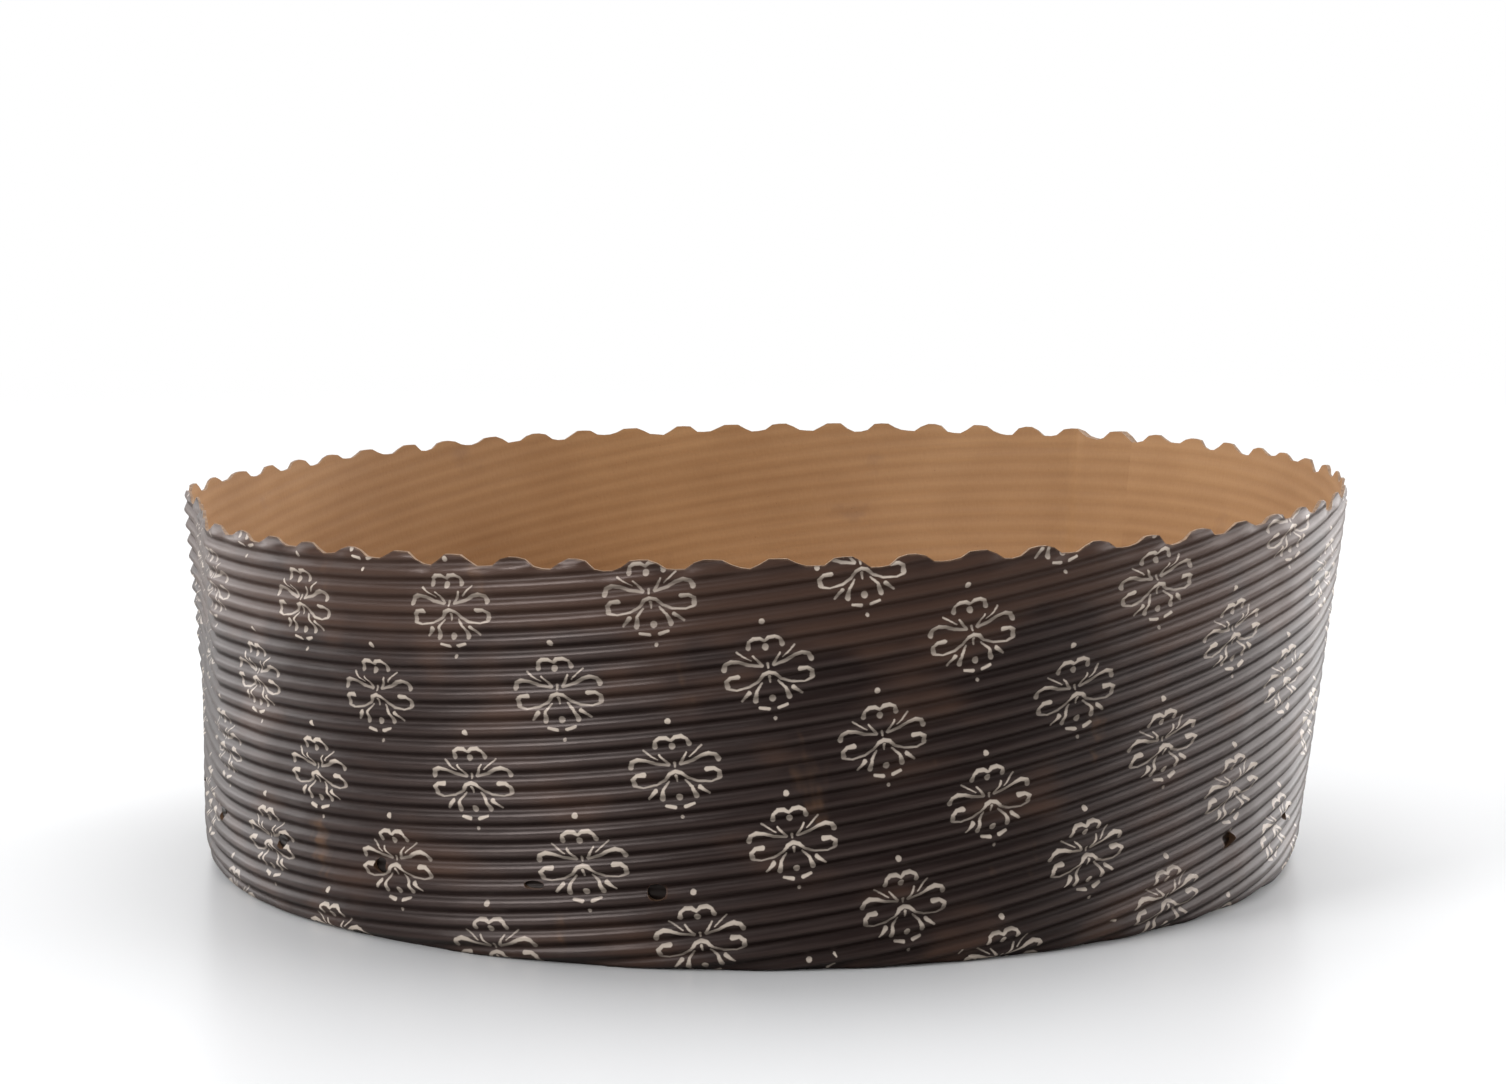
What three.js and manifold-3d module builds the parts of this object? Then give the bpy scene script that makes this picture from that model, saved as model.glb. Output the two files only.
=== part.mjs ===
// A low round baking mold of corrugated paper.
//
// It is made of two pieces of single-faced board. The wall is one strip: its smooth liner
// faces inwards, its flutes face outwards, its ends are lapped and glued at the back, its
// top edge is cut in scallops, and its lower margin is slit into tabs that are folded in
// under the base. The base is a separate disc that lies on those tabs.
//
// Millimetres, +Z up. The origin is the centre of the underside. Angles are in degrees from
// the front (-Y), and grow towards the right (+X).

import * as THREE from 'three';
import { mergeVertices } from 'three/addons/utils/BufferGeometryUtils.js';
import Module from 'manifold-3d';

// The wall's own sizes, over the flute crests.
const WALL_HEIGHT = 70;
const RIM_RADIUS = 110.5;
const FOOT_RADIUS = 104;
// The rim has warped: it stands this much higher at the right, and as much lower at the left.
const RIM_WARP = 2;

// The single-faced board.
const LINER_THICKNESS = 0.5;
const FLUTE_DEPTH = 0.8;
const FLUTE_PITCH = 3;
// The strip was cut and bent so that the flutes lean against the floor by this angle at most.
const FLUTE_SLANT = 10;
// Where the flutes run level, at their lowest.
const FLUTES_LEVEL_AT = -56;

// The cut top edge.
const SCALLOP_PITCH = 11.2;
const SCALLOP_DEPTH = 2;

// The rounded fold at the foot, and the margin of tabs under the base.
const FOLD_HEIGHT = 6;
const FOLD_INSET = 2.5;
const MARGIN_WIDTH = 9;
const TAB_WIDTH = 17;
const TAB_SLIT = 1.2;

// The row of punched vents. The last few of the row, in front, were never pushed open.
const VENT_DIAMETER = 2.8;
const VENT_HEIGHT = 13.8;
const VENT_STEP = 15;
const FIRST_VENT_AT = 53;
const CLOSED_VENTS = 3;

// The glued lap of the strip's two ends.
const LAP_AT = 137;
const LAP_WIDTH = 14;

// The left side is pressed flat towards the rim, between two soft upright ridges.
const FLAT_AT = -78;
const FLAT_HALF_ANGLE = 13.5;
const FLAT_DEPTH = 3;
const FLAT_ABOVE_FOLD = 6;

// The base disc's clearances to the tabs below it and to the wall around it.
const SEAT_GAP = 0.3;
const BASE_EDGE_GAP = 0.6;

// How finely the curved faces are divided.
const WALL_SEGMENTS = 32;
const SCALLOP_SEGMENTS = 4;
const FOLD_STEPS = 4;
const FLAT_STEPS = 4;
const VENT_SIDES = 6;

const BOARD_THICKNESS = LINER_THICKNESS + FLUTE_DEPTH;
// How far a cutting shape reaches past what it cuts.
const REACH = 5;

const wasm = await Module();
wasm.setup();

const { degToRad, clamp } = THREE.MathUtils;

// Turns a closed geometry into a solid that can be joined and cut.
function solid(geometry) {
  const bare = geometry.clone();
  bare.deleteAttribute('normal');
  bare.deleteAttribute('uv');
  const merged = mergeVertices(bare);
  return new wasm.Manifold(new wasm.Mesh({
    numProp: 3,
    vertProperties: new Float32Array(merged.attributes.position.array),
    triVerts: new Uint32Array(merged.index.array),
  }));
}

// Turns a finished solid back into a named, coloured mesh.
function namedMesh(name, body, material) {
  const { vertProperties, triVerts } = body.getMesh();
  const geometry = new THREE.BufferGeometry();
  geometry.setAttribute('position', new THREE.BufferAttribute(vertProperties, 3));
  geometry.setIndex(new THREE.BufferAttribute(triVerts, 1));
  geometry.computeVertexNormals();
  const mesh = new THREE.Mesh(geometry, material);
  mesh.name = name;
  return mesh;
}

// Spins a profile of [radius, height] pairs around the vertical axis.
function spun(profile, segments) {
  const points = profile.map(([radius, height]) => new THREE.Vector2(radius, height));
  return new THREE.LatheGeometry(points, segments).rotateX(Math.PI / 2);
}

// Moves every vertex of a spun geometry. The rule gets the vertex's angle in radians, its
// radius and its height, and returns the new radius and height.
function reshape(geometry, rule) {
  const position = geometry.attributes.position;
  for (let i = 0; i < position.count; i += 1) {
    const x = position.getX(i);
    const y = position.getY(i);
    const angle = Math.atan2(x, -y);
    const [radius, height] = rule(angle, Math.hypot(x, y), position.getZ(i));
    position.setXYZ(i, radius * Math.sin(angle), -radius * Math.cos(angle), height);
  }
  return geometry;
}

// The wall's radius over the flute crests: a cone that turns inwards at the foot.
function wallRadius(height) {
  const up = Math.max(height, 0);
  const cone = FOOT_RADIUS + (RIM_RADIUS - FOOT_RADIUS) * up / WALL_HEIGHT;
  const down = clamp(1 - up / FOLD_HEIGHT, 0, 1);
  return cone - FOLD_INSET * (1 - Math.sqrt(1 - down * down));
}

// How far the wall is pressed in, on its left side.
const flatFoot = FOLD_HEIGHT + FLAT_ABOVE_FOLD;
function pressedIn(angle, height) {
  const away = (angle - degToRad(FLAT_AT)) / degToRad(FLAT_HALF_ANGLE);
  const up = (height - flatFoot) / (WALL_HEIGHT - flatFoot);
  return FLAT_DEPTH * Math.max(1 - away * away, 0) * Math.max(up, 0);
}

// How far a flute has climbed from its mean height: it goes once down and up around the wall.
function fluteLift(angle) {
  const swing = RIM_RADIUS * Math.tan(degToRad(FLUTE_SLANT));
  return -swing * Math.cos(angle - degToRad(FLUTES_LEVEL_AT));
}

// One flute after another, as [depth below the crest, distance along the board] pairs.
function flutes(start, count) {
  const section = [[0, 1 / 6], [FLUTE_DEPTH, 1 / 2], [0, 5 / 6]];
  const points = [];
  for (let flute = 0; flute < count; flute += 1) {
    for (const [depth, share] of section) {
      points.push([depth, start + (flute + share) * FLUTE_PITCH]);
    }
  }
  return points;
}

// A solid plug with the wall's fluted outside, longer than the wall at both ends. A padding
// lets it stand proud of the wall, for the lap.
function flutedPlug(padding) {
  const swing = Math.abs(fluteLift(degToRad(FLUTES_LEVEL_AT)));
  const low = -swing - REACH;
  const high = WALL_HEIGHT + RIM_WARP + swing + REACH;
  const section = flutes(low, Math.ceil((high - low) / FLUTE_PITCH));
  const profile = section.map(([depth, along]) => [RIM_RADIUS - depth, along]);
  const top = profile.at(-1)[1];
  const bottom = profile[0][1];
  const plug = spun([[0, bottom], ...profile, [0, top]], WALL_SEGMENTS);
  return solid(reshape(plug, (angle, radius, along) => {
    if (radius < RIM_RADIUS / 2) return [radius, along];
    const height = along + fluteLift(angle);
    const depth = RIM_RADIUS - radius;
    return [wallRadius(height) + padding - depth - pressedIn(angle, height), height];
  }));
}

// The height of the scalloped rim.
const scallops = Math.round(2 * Math.PI * RIM_RADIUS / SCALLOP_PITCH);
function rimHeight(angle) {
  const wave = SCALLOP_DEPTH / 2 * (1 - Math.cos(scallops * angle));
  return WALL_HEIGHT + RIM_WARP * Math.sin(angle) - wave;
}

// Everything between the floor and the scalloped rim.
function envelope() {
  const outside = RIM_RADIUS + REACH;
  const inside = FOOT_RADIUS - FOLD_INSET - MARGIN_WIDTH;
  const block = spun([[0, 0], [outside, 0], [outside, WALL_HEIGHT], [inside, WALL_HEIGHT],
    [0, WALL_HEIGHT]], scallops * SCALLOP_SEGMENTS);
  return solid(reshape(block, (angle, radius, height) => {
    const onRim = height > WALL_HEIGHT / 2 && radius > inside / 2;
    return [radius, onRim ? rimHeight(angle) : height];
  }));
}

// The space inside the liner, above the folded margin. It follows the fold and the flat.
function hollow() {
  const fold = Array.from({ length: FOLD_STEPS + 1 }, (_, step) => (
    BOARD_THICKNESS + (FOLD_HEIGHT - BOARD_THICKNESS) * step / FOLD_STEPS));
  const top = WALL_HEIGHT + REACH;
  const flat = Array.from({ length: FLAT_STEPS + 1 }, (_, step) => (
    flatFoot + (top - flatFoot) * step / FLAT_STEPS));
  const heights = [...fold, ...flat];
  const profile = heights.map((height) => [wallRadius(height) - BOARD_THICKNESS, height]);
  const space = spun([[0, BOARD_THICKNESS], ...profile, [0, top]], WALL_SEGMENTS);
  return solid(reshape(space, (angle, radius, height) => (
    [radius > FOOT_RADIUS / 2 ? radius - pressedIn(angle, height) : radius, height])));
}

// The round opening that the tabs leave under the base.
const marginOuter = wallRadius(0) - BOARD_THICKNESS;
const marginInner = marginOuter - MARGIN_WIDTH;
function underHole() {
  return solid(spun([[0, -REACH], [marginInner, -REACH], [marginInner, BOARD_THICKNESS + REACH],
    [0, BOARD_THICKNESS + REACH]], WALL_SEGMENTS));
}

// The slits between the tabs.
function tabSlits() {
  const tabs = Math.round(2 * Math.PI * marginOuter / TAB_WIDTH);
  const length = MARGIN_WIDTH + TAB_SLIT;
  return Array.from({ length: tabs }, (_, tab) => {
    const slit = new THREE.BoxGeometry(TAB_SLIT, length, 3 * BOARD_THICKNESS);
    slit.translate(0, -(marginOuter - length / 2 - TAB_SLIT / 2), 0);
    return solid(slit.rotateZ((tab + 0.5) / tabs * 2 * Math.PI));
  });
}

// The punches of the open vents.
function ventPunches() {
  const radius = VENT_DIAMETER / 2;
  const open = Math.round(360 / VENT_STEP) - CLOSED_VENTS;
  return Array.from({ length: open }, (_, vent) => {
    const punch = new THREE.CylinderGeometry(radius, radius, 4 * REACH, VENT_SIDES);
    punch.translate(0, -wallRadius(VENT_HEIGHT), VENT_HEIGHT);
    return solid(punch.rotateZ(degToRad(FIRST_VENT_AT + vent * VENT_STEP)));
  });
}

// The sector of the wall where the strip's outer end lies over its inner end.
function lapSector() {
  const half = LAP_WIDTH / RIM_RADIUS / 2;
  const reach = (RIM_RADIUS + REACH) / Math.cos(half);
  const corner = (turn) => {
    const angle = degToRad(LAP_AT) + turn;
    return new THREE.Vector2(reach * Math.sin(angle), -reach * Math.cos(angle));
  };
  const sector = new THREE.Shape([new THREE.Vector2(0, 0), corner(-half), corner(half)]);
  const depth = 2 * WALL_HEIGHT;
  return solid(new THREE.ExtrudeGeometry(sector, { depth, bevelEnabled: false }));
}

function sideWall() {
  const lap = flutedPlug(BOARD_THICKNESS).intersect(lapSector());
  let wall = flutedPlug(0).add(lap).intersect(envelope()).subtract(hollow());
  wall = wall.subtract(underHole());
  for (const cut of [...tabSlits(), ...ventPunches()]) wall = wall.subtract(cut);
  return wall;
}

// The base disc, liner up and flutes down, lies on the tabs.
function baseDisc() {
  const low = BOARD_THICKNESS + SEAT_GAP;
  const high = low + BOARD_THICKNESS;
  const radius = wallRadius(low) - BOARD_THICKNESS - BASE_EDGE_GAP;
  const count = Math.ceil(2 * (radius + REACH) / FLUTE_PITCH);
  const start = -count * FLUTE_PITCH / 2;
  const under = flutes(start, count).map(([depth, along]) => new THREE.Vector2(along, low + depth));
  const outline = new THREE.Shape([...under, new THREE.Vector2(under.at(-1).x, high),
    new THREE.Vector2(under[0].x, high)]);
  const depth = 2 * (radius + REACH);
  const board = new THREE.ExtrudeGeometry(outline, { depth, bevelEnabled: false });
  board.translate(0, 0, -depth / 2).rotateX(Math.PI / 2);
  const round = spun([[0, low - REACH], [radius, low - REACH], [radius, high + REACH],
    [0, high + REACH]], 2 * WALL_SEGMENTS);
  return solid(board).intersect(solid(round));
}

const printedPaper = new THREE.MeshStandardMaterial({
  name: 'printed_paper', color: 0x3a2a25, roughness: 0.42, metalness: 0,
});
const plainBoard = new THREE.MeshStandardMaterial({
  name: 'plain_board', color: 0xb48a58, roughness: 0.8, metalness: 0,
});

const mold = new THREE.Group();
mold.name = 'paper_mold';
mold.add(namedMesh('side_wall', sideWall(), printedPaper));
mold.add(namedMesh('base_disc', baseDisc(), plainBoard));

export default mold;
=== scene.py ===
"""Looks of a round baking mold of printed corrugated paper.

The wall is one strip of single-faced board: a smooth golden liner inside, and outside the
flutes, printed dark brown with thin pale gold flowers. Its margin is slit into tabs that are
folded in under the base, a plain disc of the same board. Sizes inside the classes are in
millimetres, and angles are in degrees from the front (-Y), growing towards the right (+X).
"""

import logging
import math
from collections.abc import Callable, Mapping
from dataclasses import dataclass, field
from enum import Enum
from functools import reduce
from itertools import pairwise

import bmesh
import bpy
from mathutils import Euler, Matrix, Vector


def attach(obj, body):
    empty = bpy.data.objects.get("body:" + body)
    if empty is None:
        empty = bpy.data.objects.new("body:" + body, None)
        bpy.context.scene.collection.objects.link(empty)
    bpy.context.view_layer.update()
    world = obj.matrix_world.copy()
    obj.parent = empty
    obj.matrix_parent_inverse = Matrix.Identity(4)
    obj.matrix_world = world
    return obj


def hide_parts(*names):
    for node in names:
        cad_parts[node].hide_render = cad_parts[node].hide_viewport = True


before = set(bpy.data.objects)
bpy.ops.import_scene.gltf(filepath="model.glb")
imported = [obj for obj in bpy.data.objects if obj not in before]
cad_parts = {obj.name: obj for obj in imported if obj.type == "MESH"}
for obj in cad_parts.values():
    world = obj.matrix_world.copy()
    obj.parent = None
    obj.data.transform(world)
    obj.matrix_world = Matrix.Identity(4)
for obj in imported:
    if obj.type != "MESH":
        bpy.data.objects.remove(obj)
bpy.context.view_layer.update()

MM = 0.001
FULL_TURN = 2.0 * math.pi
LOG = logging.getLogger("paper_mold")

Node, Socket = bpy.types.Node, bpy.types.NodeSocket
Material, Solid = bpy.types.Material, bpy.types.Object
Colour = tuple[float, float, float, float]
Spot = tuple[float, float, float]
Path = tuple[Spot, ...]


class Face(Enum):
    """The three kinds of paper surface that the strip shows."""

    PRINT = "printed_paper"
    LINER = "golden_liner"
    CUT = "cut_edge"


class Part(Enum):
    """The nodes of the solid model, and the finish slot of each."""

    WALL = ("side_wall", "printed_wall_paper")
    BASE = ("base_disc", "plain_base_board")


class Graph:
    """A node tree, filled by calls that each make one node."""

    def __init__(self, tree: bpy.types.NodeTree) -> None:
        """Takes an empty tree.

        Args:
            tree: The shader or geometry tree to fill.
        """
        self.tree = tree

    def add(
        self,
        kind: str,
        settings: Mapping[str, object] | None = None,
        inputs: Mapping[str | int, object] | None = None,
    ) -> Node:
        """Makes one node.

        Args:
            kind: Blender's name of the node's type.
            settings: Its properties.
            inputs: A value, a Number or an output socket for each named or numbered input.

        Returns:
            The new node.
        """
        node = self.tree.nodes.new(kind)
        for name, value in (settings or {}).items():
            setattr(node, name, value)
        self.feed(node, inputs or {})
        return node

    def feed(self, node: Node, inputs: Mapping[str | int, object]) -> None:
        """Sets or links some inputs of a node, given as in add."""
        for name, value in inputs.items():
            socket = node.inputs[name]
            if isinstance(value, Number):
                value = value.socket
            if isinstance(value, Socket):
                self.tree.links.new(value, socket)
            else:
                socket.default_value = value

    def number(self, socket: Socket) -> "Number":
        """Wraps an output socket."""
        return Number(self, socket)

    def split(self, vector: Socket) -> list["Number"]:
        """Splits a vector into its three numbers."""
        node = self.add("ShaderNodeSeparateXYZ", inputs={0: vector})
        return [self.number(output) for output in node.outputs]

    def join(self, x: object, y: object, z: object = 0.0) -> Socket:
        """Joins three numbers into a vector."""
        return self.add("ShaderNodeCombineXYZ", inputs={0: x, 1: y, 2: z}).outputs[0]

    def vector(self, operation: str, first: object, second: object) -> Node:
        """Adds a Vector Math node with two inputs, of which SCALE's second is a number."""
        slot = 3 if operation == "SCALE" else 1
        return self.add("ShaderNodeVectorMath", {"operation": operation}, {0: first, slot: second})

    def noise(
        self, place: Socket, scale: float, detail: float = 2.0, rough: float = 0.5
    ) -> "Number":
        """Reads a noise pattern.

        Args:
            place: The coordinates to read it at.
            scale: How fine it is, in features for each unit of the coordinates.
            detail: The number of finer octaves.
            rough: The weight of the finer octaves.

        Returns:
            A number around 0.5.
        """
        inputs = {"Vector": place, "Scale": scale, "Detail": detail, "Roughness": rough}
        node = self.add("ShaderNodeTexNoise", {"noise_dimensions": "3D"}, inputs)
        return self.number(node.outputs[0])

    def blend(self, factor: object, low: object, high: object) -> Socket:
        """Mixes two colours.

        Args:
            factor: 0 gives the low colour, and 1 the high one.
            low: An RGBA colour or a colour socket.
            high: An RGBA colour or a colour socket.

        Returns:
            The mixed colour.
        """
        settings = {"data_type": "RGBA", "clamp_factor": True}
        node = self.add("ShaderNodeMix", settings, {0: factor, 6: low, 7: high})
        return node.outputs[2]

    def bump(self, relief: "Number", strength: float, depth: float) -> Socket:
        """Turns a fine relief, of a depth given in millimetres, into a normal."""
        inputs = {"Strength": strength, "Distance": depth * MM, "Height": relief}
        return self.add("ShaderNodeBump", inputs=inputs).outputs[0]


def operator(operation: str, meaning: str, swapped: bool = False) -> Callable[..., "Number"]:
    """Makes a method of Number that adds one Math node.

    Args:
        operation: The node's operation.
        meaning: The method's docstring.
        swapped: Whether the other number comes first.

    Returns:
        The method.
    """

    def method(number: "Number", *others: object) -> "Number":
        return number.math(operation, *((*others, number) if swapped else (number, *others)))

    method.__doc__ = meaning
    return method


class Number:
    """A number that flows through a tree. Python's operators on it add Math nodes."""

    def __init__(self, graph: Graph, socket: Socket) -> None:
        """Wraps a socket.

        Args:
            graph: The tree that it belongs to.
            socket: The output that gives the number.
        """
        self.graph = graph
        self.socket = socket

    def math(self, operation: str, *terms: object, clamp: bool = False) -> "Number":
        """Adds a Math node.

        Args:
            operation: The node's operation.
            terms: Its inputs, in order.
            clamp: Whether the result is kept between 0 and 1.

        Returns:
            The node's result.
        """
        settings = {"operation": operation, "use_clamp": clamp}
        node = self.graph.add("ShaderNodeMath", settings, dict(enumerate(terms)))
        return Number(self.graph, node.outputs[0])

    __add__ = __radd__ = operator("ADD", "Adds.")
    __sub__ = operator("SUBTRACT", "Subtracts.")
    __rsub__ = operator("SUBTRACT", "Subtracts this from another number.", swapped=True)
    __mul__ = __rmul__ = operator("MULTIPLY", "Multiplies.")
    __truediv__ = operator("DIVIDE", "Divides.")
    __rtruediv__ = operator("DIVIDE", "Divides another number by this.", swapped=True)
    __pow__ = operator("POWER", "Raises to a power.")
    __abs__ = operator("ABSOLUTE", "Drops the sign.")
    sine = operator("SINE", "The sine.")
    cosine = operator("COSINE", "The cosine.")
    root = operator("SQRT", "The square root.")
    floor = operator("FLOOR", "The whole number below.")
    over = operator("GREATER_THAN", "1 where this is greater, else 0.")
    under = operator("LESS_THAN", "1 where this is less, else 0.")
    most = operator("MAXIMUM", "The greater of the two.")
    least = operator("MINIMUM", "The lesser of the two.")
    turn_from = operator("ARCTAN2", "The angle whose tangent is this over the other.")

    def __neg__(self) -> "Number":
        """Changes the sign."""
        return self * -1.0

    def wrap(self, low: float, high: float) -> "Number":
        """Wraps into a range."""
        return self.math("WRAP", self, high, low)

    def held(self) -> "Number":
        """Keeps it between 0 and 1."""
        return self.math("ADD", self, 0.0, clamp=True)

    def rise(self, start: float, end: float) -> "Number":
        """A smooth step from 0 at start to 1 at end, where start may be the greater."""
        settings = {"interpolation_type": "SMOOTHSTEP", "clamp": True}
        low, high = min(start, end), max(start, end)
        node = self.graph.add("ShaderNodeMapRange", settings, {0: self, 1: low, 2: high})
        step = Number(self.graph, node.outputs[0])
        return step if start < end else 1.0 - step


class Recipe(Graph):
    """A geometry tree with named inputs, baked into a plain mesh."""

    merge_distance = 0.002

    def __init__(self, name: str, sizes: Mapping[str, float]) -> None:
        """Makes a tree with one named input for each size.

        Args:
            name: The tree's name.
            sizes: The value of each named input.
        """
        super().__init__(bpy.data.node_groups.new(name, "GeometryNodeTree"))
        face = self.tree.interface
        face.new_socket("Geometry", in_out="OUTPUT", socket_type="NodeSocketGeometry")
        self.sizes = dict(sizes)
        self.identifiers = {}
        for label in self.sizes:
            item = face.new_socket(label, in_out="INPUT", socket_type="NodeSocketFloat")
            self.identifiers[label] = item.identifier
        self.entry = self.tree.nodes.new("NodeGroupInput")

    def size(self, label: str) -> Number:
        """Reads a named input."""
        return self.number(self.entry.outputs[label])

    def place(self) -> list[Number]:
        """Reads each point's coordinates."""
        return self.split(self.add("GeometryNodeInputPosition").outputs[0])

    def index(self) -> Number:
        """Reads each point's place in its row."""
        return self.number(self.add("GeometryNodeInputIndex").outputs[0])

    def grid(self, width: int, depth: int) -> tuple[Socket, Number, Number]:
        """Makes a flat grid.

        Args:
            width: The number of its columns of faces.
            depth: The number of its rows of faces.

        Returns:
            The geometry, and each point's column and row.
        """
        grid = self.add("GeometryNodeMeshGrid", inputs={
            "Size X": width, "Size Y": depth, "Vertices X": width + 1, "Vertices Y": depth + 1,
        })
        x, y, _ = self.place()
        return grid.outputs["Mesh"], x + width / 2.0, y + depth / 2.0

    def move(self, mesh: Socket, x: object, y: object, z: object) -> Socket:
        """Moves every point to a new place."""
        inputs = {"Geometry": mesh, "Position": self.join(x, y, z)}
        return self.add("GeometryNodeSetPosition", inputs=inputs).outputs[0]

    def bend(self, mesh: Socket, angle: Number, radius: Number, height: Number) -> Socket:
        """Moves every point to an angle, a radius and a height about the mold's axis."""
        return self.move(mesh, radius * angle.sine(), radius * angle.cosine() * -1.0, height)

    def copy_round(self, piece: Socket, count: int, turn: Number, width: object = 1.0) -> Socket:
        """Copies a piece, which lies in its place in front, around the mold's axis.

        Args:
            piece: The piece.
            count: The number of copies.
            turn: Each copy's angle in radians.
            width: How far each copy is stretched across.

        Returns:
            The copies.
        """
        points = self.add("GeometryNodePoints", inputs={"Count": count})
        copies = self.add("GeometryNodeInstanceOnPoints", inputs={
            "Points": points.outputs[0],
            "Instance": piece,
            "Rotation": self.join(0.0, 0.0, turn),
            "Scale": self.join(width, 1.0, 1.0),
        })
        return copies.outputs[0]

    def paint(self, mesh: Socket, material: Material, where: object = True) -> Socket:
        """Gives some faces a material.

        Args:
            mesh: The geometry so far.
            material: The material.
            where: Which faces, as a number above 0.

        Returns:
            The geometry.
        """
        inputs = {"Geometry": mesh, "Selection": where, "Material": material}
        return self.add("GeometryNodeSetMaterial", inputs=inputs).outputs[0]

    def note(
        self, mesh: Socket, name: str, value: object, kind: str = "FLOAT", domain: str = "POINT"
    ) -> Socket:
        """Stores a value, here a number for each point, as a named attribute."""
        inputs = {"Geometry": mesh, "Name": name, "Value": value}
        settings = {"data_type": kind, "domain": domain}
        return self.add("GeometryNodeStoreNamedAttribute", settings, inputs).outputs[0]

    def lay(self, mesh: Socket, across: Number, up: Number) -> Socket:
        """Stores where the points lie on the flat sheet, as a UV map.

        Args:
            mesh: The geometry so far.
            across: The distance along the flutes in millimetres.
            up: The distance across the flutes in millimetres.

        Returns:
            The geometry.
        """
        place = self.join(across / WallSheet.map_span, up / WallSheet.map_span)
        return self.note(mesh, WallSheet.print_map, place, "FLOAT2", "CORNER")

    def close(self, mesh: Socket, sharp_above: float) -> Socket:
        """Merges the doubled points, makes the mesh smooth but for its sharp edges, and
        scales it from millimetres to metres.

        Args:
            mesh: The geometry so far.
            sharp_above: The angle, in degrees, over which an edge stays sharp.

        Returns:
            The geometry.
        """
        inputs = {"Geometry": mesh, "Distance": self.merge_distance}
        mesh = self.add("GeometryNodeMergeByDistance", inputs=inputs).outputs[0]
        angle = self.number(self.add("GeometryNodeInputMeshEdgeAngle").outputs["Unsigned Angle"])
        sharp = angle.over(math.radians(sharp_above))
        for domain, where, smooth in (("FACE", True, True), ("EDGE", sharp, False)):
            inputs = {"Geometry": mesh, "Selection": where, "Shade Smooth": smooth}
            mesh = self.add("GeometryNodeSetShadeSmooth", {"domain": domain}, inputs).outputs[0]
        inputs = {"Geometry": mesh, "Scale": (MM, MM, MM)}
        return self.add("GeometryNodeTransform", inputs=inputs).outputs[0]

    def bake(self, name: str, mesh: Socket) -> Solid:
        """Ends the tree and turns its result into a plain object.

        Args:
            name: The object's name.
            mesh: The finished geometry.

        Returns:
            The object, with no modifier left.
        """
        real = self.add("GeometryNodeRealizeInstances", inputs={0: mesh})
        self.add("NodeGroupOutput", inputs={0: real.outputs[0]})
        holder = put(name, bpy.data.meshes.new(name))
        modifier = holder.modifiers.new("recipe", "NODES")
        modifier.node_group = self.tree
        for label, value in self.sizes.items():
            modifier[self.identifiers[label]] = float(value)
        flatten(holder)
        return holder


def put(name: str, data: bpy.types.ID) -> Solid:
    """Makes an object of a mesh, a lamp or a camera, and puts it into the scene."""
    item = bpy.data.objects.new(name, data)
    bpy.context.scene.collection.objects.link(item)
    return item


def flatten(piece: Solid) -> None:
    """Replaces an object's mesh by its evaluated one, and removes its modifiers.

    Args:
        piece: The object.
    """
    graph = bpy.context.evaluated_depsgraph_get()
    graph.update()
    mesh = bpy.data.meshes.new_from_object(
        piece.evaluated_get(graph), preserve_all_data_layers=True, depsgraph=graph
    )
    mesh.name = piece.name
    piece.modifiers.clear()
    piece.data = mesh


def shader(name: str) -> tuple[Graph, Material, Node]:
    """Starts a material.

    Args:
        name: Its name.

    Returns:
        Its tree, the material and its Principled shader.
    """
    material = bpy.data.materials.new(name)
    material.use_nodes = True
    material.node_tree.nodes.clear()
    graph = Graph(material.node_tree)
    body = graph.add("ShaderNodeBsdfPrincipled")
    graph.add("ShaderNodeOutputMaterial", inputs={0: body.outputs[0]})
    return graph, material, body


def print_place(graph: Graph) -> tuple[Number, Number]:
    """Reads where a point lies on the flat sheet.

    Args:
        graph: The material's tree.

    Returns:
        The distances along and across the flutes, in millimetres.
    """
    uv = graph.add("ShaderNodeUVMap", {"uv_map": WallSheet.print_map})
    place = graph.vector("SCALE", uv.outputs[0], WallSheet.map_span)
    across, up, _ = graph.split(place.outputs[0])
    return across, up


@dataclass(frozen=True)
class Board:
    """The single-faced board that both pieces are made of."""

    liner: float = 0.5
    flute_depth: float = 0.8
    flute_pitch: float = 3.0
    rows_per_flute: int = 8
    crest_power: float = 1.4

    @property
    def thickness(self) -> float:
        """From the liner's face to the flute crests."""
        return self.liner + self.flute_depth

    def sizes(self) -> dict[str, float]:
        """The sizes that the recipes of all pieces share."""
        return {
            "Flute depth": self.flute_depth,
            "Flute pitch": self.flute_pitch,
            "Board thickness": self.thickness,
        }


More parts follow.
